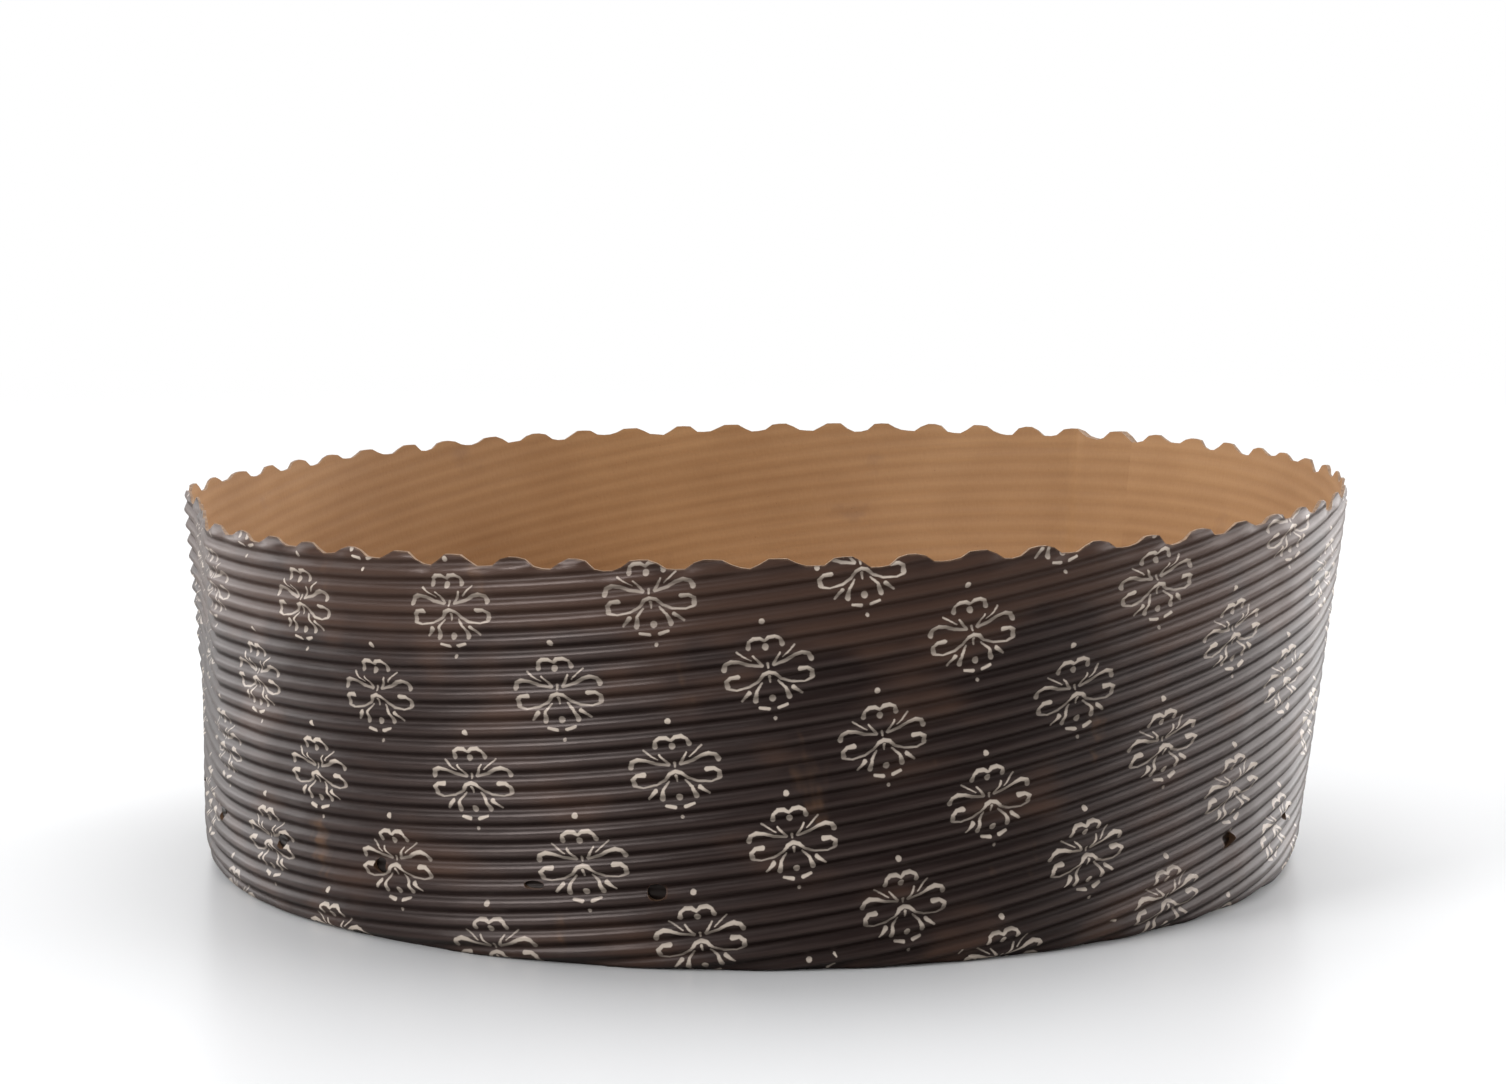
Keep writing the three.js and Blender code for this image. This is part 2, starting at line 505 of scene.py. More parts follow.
@dataclass(frozen=True)
class Sheet:
    """How the printed sheet lies on the ring: the lean of its flutes, which the print follows.

    The print is a little stretched in front and at the lower right, where the ring is not round.
    """

    radius: float = 107.0
    lean: float = 0.175
    level_at: float = -56.3
    front_at: float = -3.0
    front_half: float = 33.0
    front_pull: float = 0.95
    right_from: float = 38.0
    right_to: float = 72.0
    right_pull: float = 5.6
    right_pull_fade: float = 0.07

    @property
    def swing(self) -> float:
        """How far a flute climbs above and below its mean height."""
        return self.radius * self.lean

    def lift(self, angle: Number) -> Number:
        """A flute's height above its mean, at an angle in radians."""
        return (angle - math.radians(self.level_at)).cosine() * -self.swing

    def across(self, angle: Number, height: Number) -> Number:
        """The distance along the flutes, from the front."""
        slope = (angle - math.radians(self.level_at)).sine() * self.lean
        shrink = 1.0 - self.lean**2 / 4
        away = (angle - math.radians(self.front_at)) / math.radians(self.front_half)
        front = ((away.most(-1.0).least(1.0) * math.pi).cosine() + 1.0) * self.front_pull
        turned = angle.rise(math.radians(self.right_from), math.radians(self.right_to))
        right = turned * (self.right_pull - height * self.right_pull_fade)
        return angle * (self.radius * shrink) + height * slope - front - right

    def up(self, angle: Number, height: Number) -> Number:
        """The distance across the flutes. It is 0 where a flute at the front meets the floor."""
        start = self.swing * math.cos(math.radians(self.level_at))
        return height - self.lift(angle) - start


@dataclass(frozen=True)
class Flower:
    """One printed flower, drawn in tapered strokes, the same on both sides of its upright axis.

    A path is given for the right-hand half: the x, y and half width of the spots that it runs
    through, in millimetres from the centre. A dot is x, y and radius.
    """

    size: float = 1.085
    crown: tuple[Path, ...] = (
        ((0.0, 4.65, 0.2), (0.7, 5.15, 0.28), (1.7, 5.2, 0.28), (2.5, 4.75, 0.22), (2.7, 3.85, 0.4)),
        ((2.15, 2.6, 0.12), (0.9, 0.85, 0.22)),
        ((4.6, 3.4, 0.12), (2.5, 1.85, 0.07)),
    )
    upper_petal: Path = (
        (0.95, 0.75, 0.16),
        (3.0, 1.2, 0.24),
        (4.4, 1.85, 0.28),
        (5.6, 2.1, 0.32),
        (6.6, 1.75, 0.3),
        (6.95, 0.95, 0.42),
    )
    lower_petal: Path = (
        (0.0, -0.2, 0.26),
        (0.9, -0.5, 0.28),
        (1.8, -1.5, 0.2),
        (3.3, -2.15, 0.14),
        (5.4, -2.4, 0.09),
        (6.6, -2.1, 0.16),
    )
    lower_curl: Path = (
        (6.75, -1.8, 0.4),
        (6.85, -0.95, 0.3),
        (6.1, -0.35, 0.26),
        (4.95, -0.35, 0.36),
    )
    foot: tuple[Path, ...] = (
        ((1.3, -1.8, 0.12), (2.3, -2.9, 0.2), (2.7, -4.4, 0.42)),
        ((2.2, -5.5, 0.18), (0.8, -5.85, 0.26)),
        ((3.5, -3.0, 0.32), (4.8, -4.2, 0.15)),
        ((0.0, 0.5, 0.14), (0.0, 1.05, 0.2)),
        ((0.0, -0.9, 0.22), (0.0, -1.8, 0.12)),
    )
    dots: tuple[Spot, ...] = (
        (0.0, 3.7, 0.5),
        (0.0, -4.35, 0.52),
        (0.0, 7.7, 0.46),
        (0.0, -7.5, 0.28),
    )

    def distance(self, graph: Graph, x: Number, y: Number) -> Number:
        """The distance to the nearest line of the flower.

        Args:
            graph: The material's tree.
            x: The place across, from the flower's centre.
            y: The place up, from the flower's centre.

        Returns:
            The distance in millimetres, below 0 inside a line.
        """
        place = graph.join(abs(x) / self.size, y / self.size)
        petals = (self.upper_petal, self.lower_petal, self.lower_curl)
        paths = (*self.crown, *petals, *self.foot)
        reaches = [path_distance(graph, place, path) for path in paths]
        for centre_x, centre_y, radius in self.dots:
            centre = Vector((centre_x, centre_y, 0.0))
            gap = graph.vector("DISTANCE", place, centre).outputs["Value"]
            reaches.append(graph.number(gap) - radius)
        return reduce(Number.least, reaches) * self.size


def path_distance(graph: Graph, place: Socket, path: Path) -> Number:
    """The distance from a place to a path of straight tapered strokes.

    Args:
        graph: The material's tree.
        place: The place.
        path: The x, y and half width of each spot that the path runs through.

    Returns:
        The distance to its outline, below 0 inside.
    """
    gaps = []
    for (start_x, start_y, start_width), (end_x, end_y, end_width) in pairwise(path):
        start = Vector((start_x, start_y, 0.0))
        run = Vector((end_x, end_y, 0.0)) - start
        away = graph.vector("SUBTRACT", place, start).outputs[0]
        dot = graph.vector("DOT_PRODUCT", away, run / run.length_squared)
        share = graph.number(dot.outputs["Value"]).held()
        foot = graph.vector("SCALE", run, share).outputs[0]
        gap = graph.number(graph.vector("DISTANCE", away, foot).outputs["Value"])
        gaps.append(gap - (share * (end_width - start_width) + start_width))
    return reduce(Number.least, gaps)


@dataclass(frozen=True)
class Grain:
    """A noise pattern on the flat sheet.

    It holds the width and height of its features in millimetres, the number of its finer
    octaves and their weight, and the layer of the noise that it is read in.
    """

    width: float
    height: float
    octaves: float = 3.0
    weight: float = 0.6
    layer: float = 0.0

    def read(self, graph: Graph, across: Number, up: Number) -> Number:
        """Reads the pattern, a number around 0.5, at a place on the sheet."""
        place = graph.join(across / self.width, up / self.height, self.layer)
        return graph.noise(place, 1.0, self.octaves, self.weight)


@dataclass(frozen=True)
class PrintedPaper:
    """The fluted outside: a dark brown gloss print with rows of pale gold flowers."""

    board: Board
    flower: Flower = field(default_factory=Flower)
    flower_step: float = 36.4
    flower_row: float = 29.45
    flower_at: tuple[float, float] = (-9.5, 36.5)
    dark: Colour = (0.0135, 0.0066, 0.0056, 1.0)
    # Lighter ink, for worn streaks and for the painted highlight on the flute crests.
    worn_and_crest_lit: Colour = (0.062, 0.043, 0.039, 1.0)
    warm: Colour = (0.070, 0.036, 0.024, 1.0)
    scuffed: Colour = (0.13, 0.068, 0.036, 1.0)
    gold: Colour = (0.66, 0.57, 0.485, 1.0)
    kraft: Colour = (0.16, 0.095, 0.058, 1.0)
    # Near black, painted on the vent flaps and on the cut walls of the vents: painted shade inside
    # the holes.
    painted_vent_shade: Colour = (0.003, 0.0018, 0.0015, 1.0)
    sheen: Colour = (1.0, 0.86, 0.82, 1.0)
    streaks: Grain = Grain(34.0, 0.9)
    fibres: Grain = Grain(2.2, 0.35, 2.0)
    blots: Grain = Grain(24.0, 13.0, 2.0, 0.5)
    scuffs: Grain = Grain(9.0, 22.0, 3.0, 0.65, 7.0)
    dents: Grain = Grain(8.0, 2.6, 3.0, 0.55)
    warm_under_rim: tuple[float, float] = (26.0, 3.0)
    frayed_under_rim: tuple[float, float] = (0.7, 0.3)
    scuff_at: tuple[float, float] = (-83.0, 23.0)
    scuff_size: tuple[float, float] = (6.5, 11.0)
    gloss: float = 0.41
    bump: tuple[float, float] = (0.7, 0.4)
    unopened_vents: tuple[Path, ...] = (
        ((11.9, -1.5, 0.3), (13.2, -0.9, 0.12)),
        ((13.6, 0.4, 0.12), (13.3, 1.0, 0.25)),
        ((38.6, -5.2, 0.12), (39.8, -5.9, 0.3)),
        ((36.6, -4.2, 0.12), (37.0, -3.6, 0.22)),
        ((68.0, -7.0, 0.12), (69.2, -7.4, 0.25)),
    )

    def material(self) -> Material:
        """Builds the material."""
        graph, material, body = shader(Face.PRINT.value)
        across, up = print_place(graph)
        grains = (self.streaks, self.fibres, self.blots, self.scuffs, self.dents)
        streaks, fibres, blots, scuffs, dents = (grain.read(graph, across, up) for grain in grains)
        drop = graph.number(
            graph.add("ShaderNodeAttribute", {"attribute_name": WallSheet.rim_map}).outputs["Fac"]
        )
        phase = up / self.board.flute_pitch * FULL_TURN
        crest = phase.cosine() * 0.5 + 0.5
        # Lighter along worn streaks, and lighter on the flute crests than in the valleys: real wear,
        # with a painted highlight on the crests and painted shade in the valleys.
        wear_and_crest_light = (streaks - 0.5) * 1.5 + crest * crest * crest * 0.5
        ink = graph.blend(wear_and_crest_light, self.dark, self.worn_and_crest_lit)
        warmth = (blots + drop.rise(*self.warm_under_rim) * 0.29).rise(0.5, 0.72)
        # The warm tint of the blots and of the band under the rim is stronger on the flute crests: a
        # painted highlight over the tint.
        ink = graph.blend(warmth * (0.5 + crest * 0.35), ink, self.warm)
        off_x = (across - self.scuff_at[0]) / self.scuff_size[0]
        off_y = (up - self.scuff_at[1]) / self.scuff_size[1]
        near = (off_x * off_x + off_y * off_y).root().rise(1.0, 0.1) * 0.2
        rubbed = (scuffs + near).rise(0.63, 0.8) * 0.8 * (0.3 + crest * 0.7)
        ink = graph.blend(rubbed, ink, self.scuffed)
        mask, fade = self._flowers(graph, across, up, fibres)
        # The gold print is dimmer in the flute valleys than on the crests: painted shade over the
        # print.
        ink = graph.blend(mask * fade * (0.48 + crest * 0.52), ink, self.gold)
        place = graph.join(across, up)
        marks = [path_distance(graph, place, mark) for mark in self.unopened_vents]
        marked = (reduce(Number.least, marks) + fibres * 0.4 - 0.2).rise(0.1, -0.1)
        ink = graph.blend(marked * 0.8, ink, self.gold)
        frayed = (drop + fibres * 0.7).rise(*self.frayed_under_rim)
        ink = graph.blend(frayed * 0.8, ink, self.kraft)
        # Painted shade: the vent flaps and the cut walls of the vents, which carry the vent mark,
        # turn near black.
        ink = graph.blend(drop.over(WallSheet.vent_shade_mark * 0.75), ink, self.painted_vent_shade)
        rough = self.gloss - crest * 0.14 + streaks * 0.16 - mask * 0.05
        relief = dents * 0.3 + fibres * 0.06 + (phase * 2.0).cosine() * -0.26
        graph.feed(body, {
            "Base Color": ink,
            "Roughness": rough,
            "Specular Tint": self.sheen,
            "Normal": graph.bump(relief, *self.bump),
        })
        return material

    def _flowers(
        self, graph: Graph, across: Number, up: Number, fibres: Number
    ) -> tuple[Number, Number]:
        """Lays the flowers out in half-drop rows.

        Args:
            graph: The material's tree.
            across: The distance along the flutes.
            up: The distance across the flutes.
            fibres: A fine noise that frays the lines.

        Returns:
            The mask of the lines, and how well each flower is printed.
        """
        half = self.flower_step / 2.0
        step = (across - self.flower_at[0]) / half + 0.5
        column = step.floor()
        x = (step - column - 0.5) * half
        shifted = (up - self.flower_at[1]) / self.flower_row + column * 0.5 + 0.5
        row = shifted.floor()
        y = (shifted - row - 0.5) * self.flower_row
        distance = self.flower.distance(graph, x, y)
        mask = (distance + fibres * 0.22 - 0.13).rise(0.1, -0.1)
        cell = graph.join(column, row)
        luck = graph.add("ShaderNodeTexWhiteNoise", {"noise_dimensions": "2D"}, {"Vector": cell})
        fade = 0.7 + graph.number(luck.outputs["Value"]) * 0.3
        return mask, fade


@dataclass(frozen=True)
class GoldenLiner:
    """The smooth inside: matt golden paper, with the flutes behind it faintly showing."""

    pitch: float
    pale: Colour = (0.43, 0.245, 0.110, 1.0)
    deep: Colour = (0.27, 0.135, 0.052, 1.0)
    stained: Colour = (0.20, 0.092, 0.034, 1.0)
    streaks: Grain = Grain(26.0, 1.1)
    clouds: Grain = Grain(26.0, 26.0, 3.0, 0.55)
    fibres: Grain = Grain(0.5, 1.4, 3.0, 0.65)
    stains: Grain = Grain(17.0, 17.0, 4.0)
    specks: Grain = Grain(1.0 / 1.3, 1.0 / 1.3, 1.0, 0.5)
    dullness: float = 0.62
    bump: tuple[float, float] = (0.55, 0.2)

    def material(self) -> Material:
        """Builds the material."""
        graph, material, body = shader(Face.LINER.value)
        across, up = print_place(graph)
        grains = (self.streaks, self.clouds, self.fibres, self.stains, self.specks)
        streaks, clouds, fibres, stains, specks = (grain.read(graph, across, up) for grain in grains)
        glue = (up / self.pitch * FULL_TURN).cosine() * 0.5 + 0.5
        colour = graph.blend(
            streaks * 0.5 + clouds * 0.8 + fibres * 0.35 - 0.3 - glue * 0.14, self.deep, self.pale
        )
        stained = stains.rise(0.62, 0.74)
        colour = graph.blend(stained * 0.35 + specks.rise(0.75, 0.8) * 0.4, colour, self.stained)
        rough = self.dullness + streaks * 0.2 - stained * 0.16
        relief = glue * -0.55 + fibres * 0.3 + clouds * 0.8
        normal = graph.bump(relief, *self.bump)
        graph.feed(body, {"Base Color": colour, "Roughness": rough, "Normal": normal})
        return material


@dataclass(frozen=True)
class CutEdge:
    """The cut section of the board, where the bare light fibres show."""

    pale: Colour = (0.36, 0.24, 0.15, 1.0)
    deep: Colour = (0.17, 0.10, 0.06, 1.0)
    fibre_size: float = 1.0 / 1.4
    roughness: float = 0.85

    def material(self) -> Material:
        """Builds the material."""
        graph, material, body = shader(Face.CUT.value)
        place = graph.add("ShaderNodeTexCoord").outputs["Object"]
        fibres = graph.noise(place, 1.0 / (self.fibre_size * MM), 2.0, 0.6)
        colour = graph.blend((fibres - 0.3) * 1.8, self.deep, self.pale)
        graph.feed(body, {"Base Color": colour, "Roughness": self.roughness})
        return material


@dataclass
class WallSheet:
    """The wall: one strip of fluted board bent into a ring, lapped and glued at the back."""

    board: Board
    sheet: Sheet
    paints: Mapping[Face, Material]
    height: float = 70.0
    rim_radius: float = 110.5
    foot_radius: float = 104.0
    rim_warp: float = 2.0
    rim_shift: float = 2.2
    scallops: int = 62
    scallop_depth: float = 1.6
    scallop_at: float = 2.3
    fold_height: float = 6.0
    fold_inset: float = 2.5
    lap_at: float = 137.0
    lap_width: float = 14.0
    lap_ramp: float = 10.0
    flat_at: float = -78.0
    flat_half: float = 13.5
    flat_depth: float = 3.2
    flat_from: float = 8.0
    flat_rise: float = 42.0
    bulge_at: float = -99.0
    bulge_half: float = 13.0
    bulge_height: float = 1.8
    wave_depth: float = 1.6
    dimple_depth: float = 0.5
    crushed: float = 0.6
    crushed_under_rim: tuple[float, float] = (2.2, 0.1)
    columns: int = 456
    inner_rows: int = 14
    row_crowding: float = 1.4
    sharp_above: float = 62.0
    print_map = "print_place"
    rim_map = "rim_drop"
    map_span = 800.0
    # The value of rim_drop that marks the vent flaps and the vent walls for painted shade.
    vent_shade_mark = 200.0

    def wall_radius(self, recipe: Recipe, angle: Number, height: Number) -> Number:
        """The radius over the flute crests.

        Args:
            recipe: The tree.
            angle: The angle in radians.
            height: The height above the floor.

        Returns:
            The radius, with the fold, the flattened side, the lean of the rim and its waves.
        """
        full, foot, rim = recipe.size("Height"), recipe.size("Foot radius"), recipe.size("Rim radius")
        cone = foot + (rim - foot) * height / full
        down = (1.0 - height / recipe.size("Fold height")).held()
        fold = recipe.size("Fold inset") * (1.0 - (1.0 - down * down).root())
        flat = self._hump(angle, self.flat_at, self.flat_half) * recipe.size("Flat depth")
        bulge = self._hump(angle, self.bulge_at, self.bulge_half) ** 2.0 * self.bulge_height
        pressed = (flat - bulge) * ((height - self.flat_from) / self.flat_rise).held()
        shift = angle.sine() * recipe.size("Rim shift") * height / full
        round_place = recipe.join(angle.sine(), angle.cosine(), height / 90.0)
        waves = (recipe.noise(round_place, 3.2, 1.0, 0.4) - 0.5) * (height / full * self.wave_depth)
        dimples = (recipe.noise(round_place, 9.0, 1.0, 0.5) - 0.5) * self.dimple_depth
        return cone - fold - pressed + shift + waves + dimples

    @staticmethod
    def _hump(angle: Number, centre: float, half: float) -> Number:
        """A parabola of height 1 over a sector, and 0 outside it.

        Args:
            angle: The angle in radians.
            centre: The sector's middle, in degrees.
            half: Half its width, in degrees.

        Returns:
            The hump.
        """
        away = (angle - math.radians(centre)).wrap(-math.pi, math.pi) / math.radians(half)
        return (1.0 - away * away).most(0.0)

    def rim_height(self, recipe: Recipe, angle: Number) -> Number:
        """The height of the scalloped rim at an angle in radians."""
        wander = recipe.noise(recipe.join(angle.sine(), angle.cosine()), 9.0, 1.0, 0.5) - 0.5
        turn = (angle - math.radians(self.scallop_at)) * recipe.size("Scallops")
        wave = (turn + wander * 1.6).cosine().rise(-0.85, 0.8)
        depth = recipe.size("Scallop depth") * (1.0 + wander * 1.8)
        return recipe.size("Height") + angle.sine() * recipe.size("Rim warp") - (1.0 - wave) * depth

    def build(self) -> Solid:
        """Builds the wall's mesh.

        Returns:
            The wall, with its three materials.
        """
        recipe = Recipe("wall_sheet", {
            "Height": self.height,
            "Rim radius": self.rim_radius,
            "Foot radius": self.foot_radius,
            "Rim warp": self.rim_warp,
            "Rim shift": self.rim_shift,
            "Scallops": self.scallops,
            "Scallop depth": self.scallop_depth,
            "Fold height": self.fold_height,
            "Fold inset": self.fold_inset,
            "Flat depth": self.flat_depth,
            **self.board.sizes(),
        })
        pitch = self.board.flute_pitch
        low = -self.sheet.swing - pitch
        high = self.height + self.rim_warp + self.sheet.swing + pitch
        step = pitch / self.board.rows_per_flute
        outer = math.ceil((high - low) / step)
        rows = outer + self.inner_rows + 1
        mesh, column, row = recipe.grid(self.columns + 1, rows - 1)
        inner = row.over(float(outer)) * row.under(rows - 2.0)
        on_rim = row.over(outer - 1.0) * row.under(float(outer))
        on_step = column.over(float(self.columns)) * row.under(outer - 0.9)
        mesh = recipe.paint(mesh, self.paints[Face.PRINT])
        mesh = recipe.paint(mesh, self.paints[Face.LINER], inner)
        mesh = recipe.paint(mesh, self.paints[Face.CUT], on_rim + on_step)
        turn = (column / self.columns).least(1.0)
        start = math.radians(self.lap_at) - self.lap_width / self.rim_radius / 2.0
        angle = turn * FULL_TURN + (start - FULL_TURN)
        outer_pad, inner_pad = self._lap(recipe, turn, column)
        rim = self.rim_height(recipe, angle)
        inside = row.over(outer - 0.5) * row.under(rows - 1.5)
        share = ((row - float(outer)) / (self.inner_rows - 1.0)).held()
        sunk = rim * (1.0 - share) ** self.row_crowding
        raised = (low + row * step) + self.sheet.lift(angle)
        outside_height = raised.most(0.0).least(rim) * (1.0 - row.over(rows - 1.5))
        height = sunk * inside + outside_height * (1.0 - inside)
        phase = self.sheet.up(angle, height) / recipe.size("Flute pitch") * FULL_TURN
        crest = (0.5 + phase.cosine() * 0.5) ** self.board.crest_power
        recess = (1.0 - crest) * recipe.size("Flute depth")
        crush = (rim - height).rise(*self.crushed_under_rim)
        skin = outer_pad - recess * (1.0 - crush * 0.6) - crush * self.crushed
        lining = inner_pad - recipe.size("Board thickness")
        radius = self.wall_radius(recipe, angle, height) + skin * (1.0 - inside) + lining * inside
        mesh = recipe.lay(mesh, self.sheet.across(angle, height), self.sheet.up(angle, height))
        mesh = recipe.note(mesh, self.rim_map, rim - height)
        wall = recipe.bend(mesh, angle, radius, height)
        return recipe.bake("wall_sheet", recipe.close(wall, self.sharp_above))

    def _lap(self, recipe: Recipe, turn: Number, column: Number) -> tuple[Number, Number]:
        """How far the strip's ends are lifted, where one lies over the other.

        Args:
            recipe: The tree.
            turn: The share of the full turn, from the strip's covered end.
            column: The grid's column.

        Returns:
            The lifts of the outside and of the liner.
        """
        run = turn * (FULL_TURN * self.rim_radius)
        ramp = run.rise(self.lap_width + self.lap_ramp, self.lap_width)
        thick = recipe.size("Board thickness")
        outer_pad = ramp.most(column.over(self.columns + 0.5)) * thick
        return outer_pad, ramp * run.over(self.lap_width) * thick


@dataclass
class Vents:
    """The row of punched vents near the foot. Three in front were never pushed open."""

    wall: WallSheet
    paints: Mapping[Face, Material]
    height: float = 13.8
    first_at: float = 53.0
    step: float = 15.0
    open_count: int = 21
    radius: float = 1.4
    sides: int = 20
    punch_length: float = 12.0
    flap_thickness: float = 0.4
    flap_tilt: float = 7.0
    flap_fray: float = 0.25

    def punch(self, sheet: Solid) -> None:
        """Cuts the vents out of the wall.

        Args:
            sheet: The wall.
        """
        mesh = bpy.data.meshes.new("vent_punches")
        tool = bmesh.new()
        for vent in range(self.open_count):
            across, up, turned = self._shape(vent)
            angle = math.radians(self.first_at + vent * self.step + turned)
            centre = Vector((math.sin(angle), -math.cos(angle), 0.0)) * self.wall.foot_radius * MM
            centre.z = self.height * MM
            turn = Matrix.Rotation(angle, 4, "Z") @ Matrix.Rotation(math.pi / 2.0, 4, "X")
            squash = Matrix.Diagonal((across, up, 1.0, 1.0))
            bmesh.ops.create_cone(
                tool,
                cap_ends=True,
                segments=self.sides,
                radius1=self.radius * MM,
                radius2=self.radius * MM,
                depth=self.punch_length * MM,
                matrix=Matrix.Translation(centre) @ turn @ squash,
            )
        tool.to_mesh(mesh)
        tool.free()
        # The vent walls take this mark, so the print on them is painted near black: painted shade.
        drop = mesh.attributes.new(WallSheet.rim_map, "FLOAT", "POINT")
        drop.data.foreach_set("value", [self.wall.vent_shade_mark] * len(mesh.vertices))
        mesh.materials.append(self.paints[Face.PRINT])
        punches = put("vent_punches", mesh)
        cut = sheet.modifiers.new("vents", "BOOLEAN")
        cut.operation = "DIFFERENCE"
        cut.solver = "MANIFOLD"
        cut.material_mode = "TRANSFER"
        cut.object = punches
        flatten(sheet)
        bpy.data.objects.remove(punches)

    def _shape(self, vent: int) -> tuple[float, float, float]:
        """How a punch is stretched across and up, and turned aside: some in front are torn.

        Args:
            vent: Its place in the row.

        Returns:
            The two factors, and the angle in degrees.
        """
        torn = {
            0: (1.4, 1.05, 0.0),
            self.open_count - 2: (1.35, 0.5, 1.9),
            self.open_count - 1: (1.15, 1.05, -1.5),
        }
        return torn.get(vent, (1.0, 1.0, 0.0))

    def flaps(self) -> Solid:
        """Hangs the punched-out flap inside each vent, by its upper edge.

        Returns:
            The flaps.
        """
        recipe = Recipe("vent_flaps", {
            "Flap radius": self.radius + self.flap_fray,
            "Flap thickness": self.flap_thickness,
            "Hinge radius": self.wall.foot_radius + 0.1,
            "Hinge height": self.height + self.radius + self.flap_fray,
        })
        disc = recipe.add("GeometryNodeMeshCylinder", {"fill_type": "NGON"}, {
            "Vertices": self.sides,
            "Radius": recipe.size("Flap radius"),
            "Depth": recipe.size("Flap thickness"),
        })
        x, y, z = recipe.place()
        mesh = recipe.paint(disc.outputs["Mesh"], self.paints[Face.PRINT])
        mesh = recipe.paint(mesh, self.paints[Face.LINER], z.under(0.0))
        mesh = recipe.lay(mesh, x, y)
        # The flaps take the same mark, so their printed faces are painted near black: painted shade.
        mesh = recipe.note(mesh, WallSheet.rim_map, z * 0.0 + WallSheet.vent_shade_mark)
        down = y - recipe.size("Flap radius")
        tilt = math.radians(self.flap_tilt)
        out = recipe.size("Hinge radius") + down * math.sin(tilt) + z * math.cos(tilt)
        up = recipe.size("Hinge height") + down * math.cos(tilt) - z * math.sin(tilt)
        flap = recipe.close(recipe.move(mesh, x, out * -1.0, up), 40.0)
        index = recipe.index()
        turn = index * math.radians(self.step) + math.radians(self.first_at)
        width = index * 0.0 + 1.0
        for vent in range(self.open_count):
            across, _, turned = self._shape(vent)
            if across != 1.0:
                here = abs(index - float(vent)).under(0.5)
                turn = turn + here * math.radians(turned)
                width = width + here * (across - 1.0)
        return recipe.bake("vent_flaps", recipe.copy_round(flap, self.open_count, turn, width))


@dataclass
class FoldTabs:
    """The slit margin of the wall, folded in under the base."""

    board: Board
    sheet: Sheet
    paints: Mapping[Face, Material]
    outer_radius: float = 101.0
    width: float = 9.8
    slit: float = 1.2
    pressed: float = 0.05
    count: int = 37
    columns: int = 8
    rows: int = 24
    groove_share: float = 0.85
    edge_share: float = 0.62

    def build(self) -> Solid:
        """Builds the tabs as copies of one bent plate.

        Returns:
            The ring of tabs.
        """
        recipe = Recipe("fold_tabs", {
            "Outer radius": self.outer_radius,
            "Tab depth": self.width,
            "Slit": self.slit,
            **self.board.sizes(),
            "Board thickness": self.board.thickness - self.pressed,
        })
        mesh, column, row = recipe.grid(self.columns + 2, 2 * self.rows + 1)
        under = row.under(self.rows + 0.5)
        mesh = recipe.paint(mesh, self.paints[Face.PRINT])
        mesh = recipe.paint(mesh, self.paints[Face.LINER], row.over(self.rows + 0.5))
        thick = recipe.size("Board thickness")
        outer = recipe.size("Outer radius")
        half = math.pi / self.count
        lid = column.under(0.5).most(column.over(self.columns + 1.5))
        across = ((column - 1.0) / float(self.columns)).held() * 2.0 - 1.0
        angle = across * (half - recipe.size("Slit") / outer * 0.5)
        back = (2.0 * self.rows + 1.0) - row
        inward = (row * under + back * (1.0 - under)) / float(self.rows) * recipe.size("Tab depth")
        phase = inward / recipe.size("Flute pitch") * FULL_TURN
        groove = (0.5 + phase.cosine() * -0.5) * recipe.size("Flute depth") * self.groove_share
        height = groove * under + thick * (1.0 - under)
        height = height * (1.0 - lid) + thick * self.edge_share * lid
        mesh = recipe.note(mesh, WallSheet.rim_map, inward * 0.0 + WallSheet.height)
        tab = recipe.close(recipe.bend(mesh, angle, outer - inward, height), 50.0)
        copies = recipe.copy_round(tab, self.count, recipe.index() * (2.0 * half))
        ring = recipe.add("GeometryNodeRealizeInstances", inputs={0: copies})
        return recipe.bake("fold_tabs", self._lay_print(recipe, ring.outputs[0], 2.0 * half))

    def _lay_print(self, recipe: Recipe, ring: Socket, spacing: float) -> Socket:
        """Lets the wall's print run on over the tabs, moved by whole flutes on each.

        Args:
            recipe: The tree.
            ring: The tabs in their places, in metres.
            spacing: The angle from tab to tab in radians.

        Returns:
            The geometry.
        """
        x, y, _ = recipe.place()
        angle = x.turn_from(-y)
        middle = (angle / spacing + 0.5).floor() * spacing
        inward = recipe.size("Outer radius") - (x * x + y * y).root() / MM
        pitch = recipe.size("Flute pitch")
        start = (self.sheet.up(middle, middle * 0.0) / pitch + 0.5).floor() * pitch
        return recipe.lay(ring, self.sheet.across(angle, -inward), start - inward)


